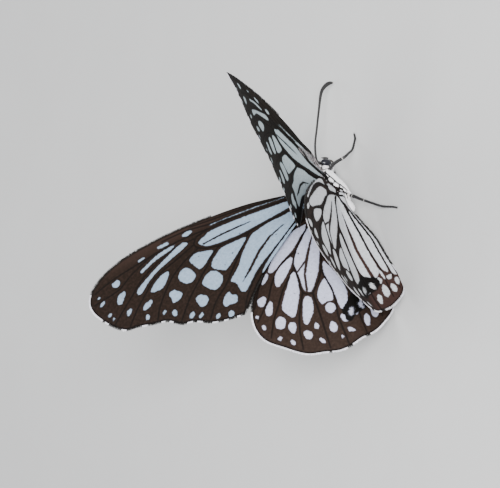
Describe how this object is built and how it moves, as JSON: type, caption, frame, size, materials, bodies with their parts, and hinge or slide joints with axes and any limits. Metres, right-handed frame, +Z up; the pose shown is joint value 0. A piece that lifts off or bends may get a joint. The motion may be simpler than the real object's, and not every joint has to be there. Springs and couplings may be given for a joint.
{
  "type": "glassy tiger butterfly",
  "caption": "Life-size still model of a glassy tiger butterfly standing with its dark, pale-celled wings half raised.",
  "frame": {"origin": "on the floor, under the middle of the animal's bounding box", "axes": "+X from tail to head along the body, +Y the animal's left, +Z up from the floor"},
  "size_m": [0.048, 0.056, 0.0388],
  "materials": {
    "forewing": "translucent scaled membrane, dark brown with pale grey-blue cells",
    "hindwing": "translucent scaled membrane, dark brown with lilac-white cells",
    "thorax": "black hair and scales with round white spots",
    "head": "black scales with white spots",
    "abdomen": "brown scales above, cream white below",
    "eye": "fine facets, dark blue-grey, glossy",
    "antenna": "black, ringed, with a dull club",
    "palp": "black bristles with a white side",
    "tongue": "dark brown, ringed",
    "leg": "black scales with pale joints"
  },
  "bodies": {
    "root": {"abdomen": "abdomen", "antenna_left": "antenna", "antenna_right": "antenna", "eye_left": "eye", "eye_right": "eye", "foreleg_left": "leg", "foreleg_right": "leg", "forewing_left": "forewing", "forewing_right": "forewing", "head": "head", "hindleg_left": "leg", "hindleg_right": "leg", "hindwing_left": "hindwing", "hindwing_right": "hindwing", "midleg_left": "leg", "midleg_right": "leg", "palp_left": "palp", "palp_right": "palp", "proboscis": "tongue", "thorax": "thorax"}
  },
  "joints": []
}
